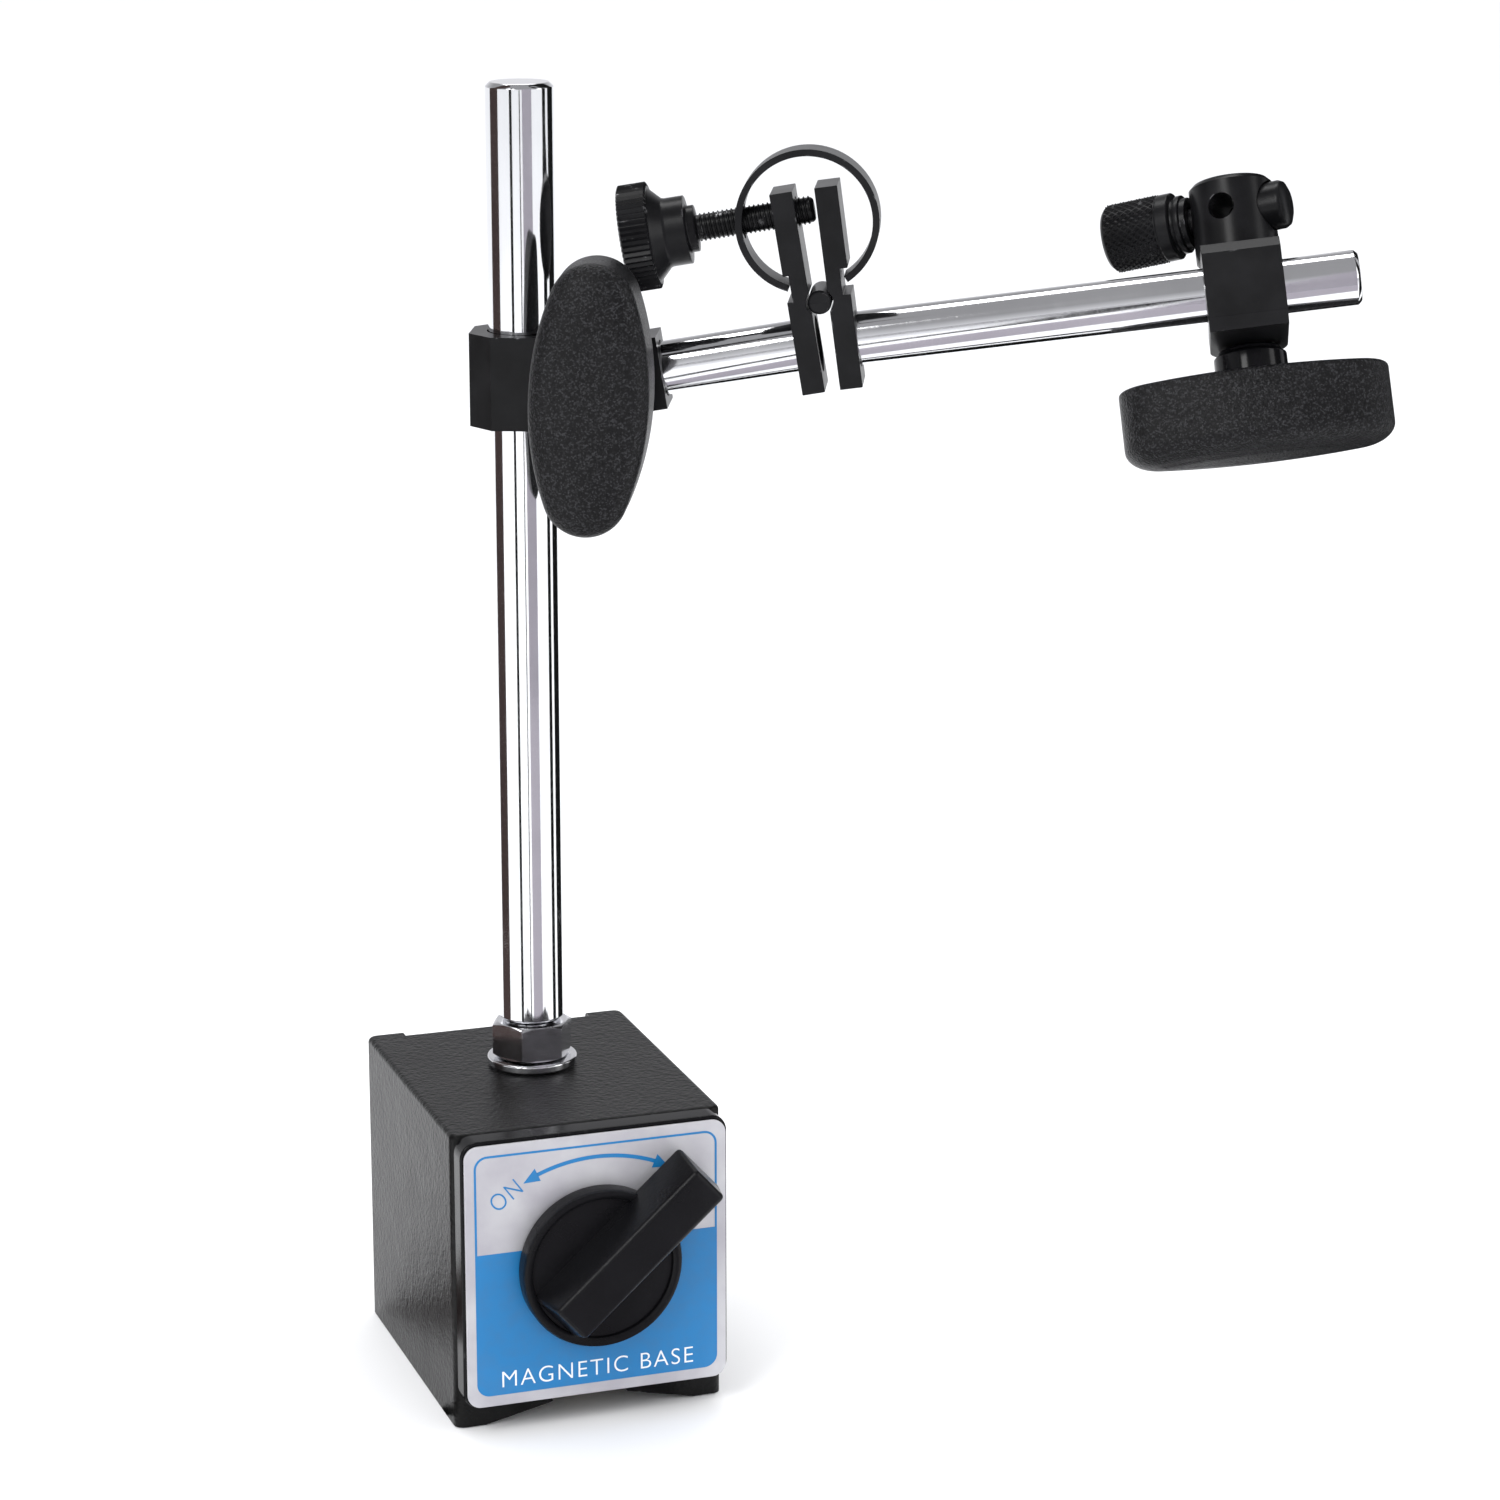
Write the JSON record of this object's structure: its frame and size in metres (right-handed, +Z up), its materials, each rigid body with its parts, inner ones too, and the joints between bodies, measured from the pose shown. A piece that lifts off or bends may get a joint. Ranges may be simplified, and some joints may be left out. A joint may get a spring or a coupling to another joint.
{
  "type": "magnetic base indicator stand",
  "caption": "Switchable magnetic base with a round column, a hinged cross arm with spring-loaded fine adjustment, and a swivelling stem clamp on the arm.",
  "frame": {"origin": "centre of the whole stand's footprint at rest, on the plane of its two pole feet", "axes": "+Z up along the column, -Y towards the switch on the base's front, +X towards the side that the arm reaches out to"},
  "size_m": [0.168, 0.0886, 0.2345],
  "materials": {
    "black_paint": "fine textured semi-matt black enamel",
    "brass": "machined",
    "gloss_black": "moulded gloss black",
    "label": "printed blue and silver plate",
    "bright_steel": "zinc plated",
    "magnet": "sintered ferrite",
    "black_nylon": "fine spark-eroded black",
    "chrome": "polished chrome plate",
    "black_oxide": "satin black oxide"
  },
  "bodies": {
    "base": {"left_pole_block": "black_paint", "right_pole_block": "black_paint", "upper_spacer": "brass", "lower_spacer": "brass", "front_cover": "gloss_black", "label_plate": "label", "rear_cover": "black_paint", "rear_screw_1": "bright_steel", "rear_screw_2": "bright_steel", "column_nut": "chrome", "column_washer": "chrome"},
    "magnet_switch": {"switch_knob": "black_nylon", "switch_shaft": "bright_steel", "rotor_magnet": "magnet", "rotor_shoe_upper": "bright_steel", "rotor_shoe_lower": "bright_steel", "rotor_pivot": "brass"},
    "column": {"column_rod": "chrome"},
    "column_clamp": {"column_strap": "black_oxide", "clamp_bolt": "bright_steel", "bolt_washer": "bright_steel", "knob_collar_1": "gloss_black"},
    "front_knob": {"knob_1": "black_nylon", "knob_insert_1": "brass"},
    "inner_arm": {"arm_eye": "black_oxide", "inner_rod": "chrome", "inner_plate": "black_oxide", "roller_pin": "bright_steel", "spring_strip": "black_oxide"},
    "adjusting_screw": {"fine_screw": "black_oxide"},
    "outer_arm": {"outer_plate": "black_oxide", "outer_rod": "chrome"},
    "rod_clamp": {"rod_strap": "black_oxide", "knob_collar_2": "gloss_black"},
    "lower_knob": {"knob_2": "black_nylon", "knob_insert_2": "brass"},
    "turret_head": {"turret": "black_oxide"},
    "clamping_bar": {"draw_bar": "black_oxide"},
    "clamping_nut": {"thumb_nut": "black_oxide"}
  },
  "joints": [
    {"name": "switch_turn", "type": "hinge", "parent": "base", "child": "magnet_switch", "pos_m": [-0.05895, 0.01426, 0.0305], "axis": [0, -1, 0], "range_deg": [0, 90]},
    {"name": "column_turn", "type": "hinge", "parent": "base", "child": "column", "pos_m": [-0.05895, 0.01876, 0], "axis": [0, 0, 1], "range_deg": [-170, 170]},
    {"name": "clamp_slide", "type": "slide", "parent": "column", "child": "column_clamp", "axis": [0, 0, 1], "range_m": [-0.098, 0.042]},
    {"name": "front_knob_turn", "type": "hinge", "parent": "column_clamp", "child": "front_knob", "pos_m": [-0.04588, 0.01321, 0.1827], "axis": [-0.3907, -0.9205, 0], "continuous": true},
    {"name": "arm_tilt", "type": "hinge", "parent": "column_clamp", "child": "inner_arm", "pos_m": [-0.04588, 0.01321, 0.1827], "axis": [0.3907, 0.9205, 0], "range_deg": [-14, 60]},
    {"name": "adjusting_screw_turn", "type": "hinge", "parent": "inner_arm", "child": "adjusting_screw", "pos_m": [-0.04947, 0.01474, 0.20577], "axis": [0.9076, -0.3853, 0.1668], "range_deg": [-180, 180]},
    {"name": "fine_tilt", "type": "hinge", "parent": "inner_arm", "child": "outer_arm", "pos_m": [-0.01043, -0.00183, 0.19723], "axis": [0.3907, 0.9205, 0], "range_deg": [-1.6, 1.6]},
    {"name": "rod_clamp_slide", "type": "slide", "parent": "outer_arm", "child": "rod_clamp", "axis": [0.9124, -0.3873, 0.1323], "range_m": [-0.035, 0.012]},
    {"name": "lower_knob_turn", "type": "hinge", "parent": "rod_clamp", "child": "lower_knob", "pos_m": [0.0619, -0.02149, 0.19492], "axis": [0.0371, 0.4, 0.9158], "continuous": true},
    {"name": "turret_turn", "type": "hinge", "parent": "rod_clamp", "child": "turret_head", "pos_m": [0.0619, -0.02149, 0.19492], "axis": [0.0371, 0.4, 0.9158], "continuous": true},
    {"name": "clamping_bar_draw", "type": "slide", "parent": "turret_head", "child": "clamping_bar", "axis": [-0.7418, 0.625, -0.243], "range_m": [0, 0.0016]},
    {"name": "clamping_nut_turn", "type": "hinge", "parent": "turret_head", "child": "clamping_nut", "pos_m": [0.06252, -0.01477, 0.2103], "axis": [0.7418, -0.625, 0.243], "range_deg": [0, 720]}
  ],
  "couplings": [
    {"joint": "fine_tilt", "follows": "adjusting_screw_turn", "ratio": 0.0082144},
    {"joint": "clamping_bar_draw", "follows": "clamping_nut_turn", "m_per_rad": 0.00012732}
  ]
}
